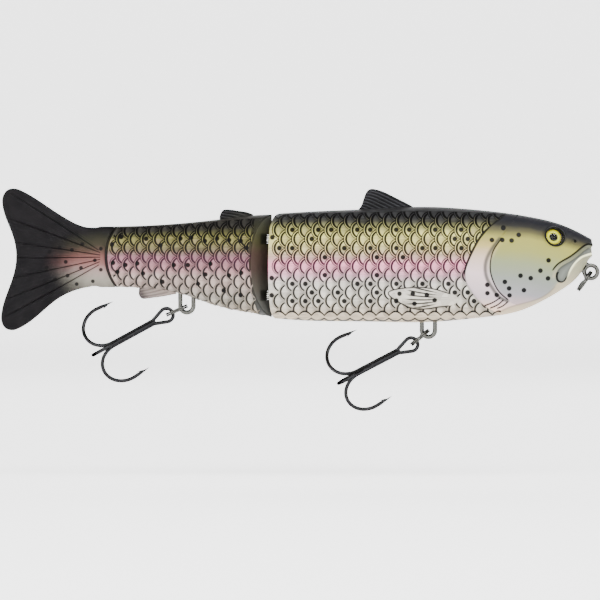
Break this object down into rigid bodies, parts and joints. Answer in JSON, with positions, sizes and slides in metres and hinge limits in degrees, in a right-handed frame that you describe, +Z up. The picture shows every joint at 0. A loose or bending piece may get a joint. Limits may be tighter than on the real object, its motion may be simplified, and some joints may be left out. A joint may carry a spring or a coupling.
{
  "type": "jointed swimbait",
  "caption": "Jointed hard swimbait in a trout finish: front and rear sections on an upright hinge, soft fins and tail, a line-tie ring and treble hooks on split rings.",
  "frame": {"origin": "centre of the line-tie eye under the chin", "axes": "+X towards the nose, +Y to the fish's left, +Z up"},
  "size_m": [0.1915, 0.0277, 0.0715],
  "materials": {
    "painted_body": "airbrushed trout pattern under clear gloss",
    "soft_fin": "matt soft plastic",
    "soft_tail": "matt soft plastic, olive and pink at the root",
    "eye_print": "printed yellow iris with a black pupil",
    "clear_dome": "clear resin",
    "nickel_wire": "bright nickel",
    "ring_steel": "bright nickel",
    "black_nickel": "black nickel",
    "ballast_metal": "dull cast metal",
    "pin_steel": "drawn stainless wire"
  },
  "bodies": {
    "front_section": {"front_shell_right": "painted_body", "front_shell_left": "painted_body", "dorsal_fin": "soft_fin", "eye_iris_right": "eye_print", "eye_iris_left": "eye_print", "eye_dome_right": "clear_dome", "eye_dome_left": "clear_dome", "line_tie_eye": "nickel_wire", "front_hook_hanger": "nickel_wire", "hinge_eye_upper": "nickel_wire", "hinge_eye_lower": "nickel_wire", "front_ballast_fore": "ballast_metal", "front_ballast_aft": "ballast_metal"},
    "line_ring": {"line_tie_ring": "ring_steel"},
    "front_ring": {"front_split_ring": "ring_steel"},
    "front_treble": {"front_treble_hook": "black_nickel"},
    "rear_section": {"rear_shell_right": "painted_body", "rear_shell_left": "painted_body", "adipose_fin": "soft_fin", "anal_fin": "soft_fin", "hinge_pin": "pin_steel", "rear_hook_hanger": "nickel_wire", "rear_ballast": "ballast_metal", "tail_fin_root": "soft_tail", "tail_pin": "pin_steel"},
    "tail_blade": {"tail_fin_blade": "soft_tail"},
    "rear_ring": {"rear_split_ring": "ring_steel"},
    "rear_treble": {"rear_treble_hook": "black_nickel"}
  },
  "joints": [
    {"name": "body_hinge", "type": "hinge", "parent": "front_section", "child": "rear_section", "pos_m": [-0.1046, 0, 0], "axis": [0, 0, 1], "range_deg": [-26, 26]},
    {"name": "tail_flex", "type": "hinge", "parent": "rear_section", "child": "tail_blade", "pos_m": [-0.16, 0, 0], "axis": [0, 0, 1], "range_deg": [-22, 22], "stiffness_Nm_per_rad": 0.004},
    {"name": "line_ring_swing", "type": "hinge", "parent": "front_section", "child": "line_ring", "pos_m": [0, 0, 0], "axis": [0, 1, 0], "range_deg": [-120, 10]},
    {"name": "front_ring_swing", "type": "hinge", "parent": "front_section", "child": "front_ring", "pos_m": [-0.052, 0, -0.0187], "axis": [0, 1, 0], "range_deg": [-70, 3]},
    {"name": "front_treble_swing", "type": "hinge", "parent": "front_ring", "child": "front_treble", "pos_m": [-0.05722, 0, -0.02308], "axis": [0, 1, 0], "range_deg": [-57, 2]},
    {"name": "rear_ring_swing", "type": "hinge", "parent": "rear_section", "child": "rear_ring", "pos_m": [-0.1293, 0, -0.0109], "axis": [0, 1, 0], "range_deg": [-75, 5]},
    {"name": "rear_treble_swing", "type": "hinge", "parent": "rear_ring", "child": "rear_treble", "pos_m": [-0.13553, 0, -0.01367], "axis": [0, 1, 0], "range_deg": [-30, 5]}
  ]
}
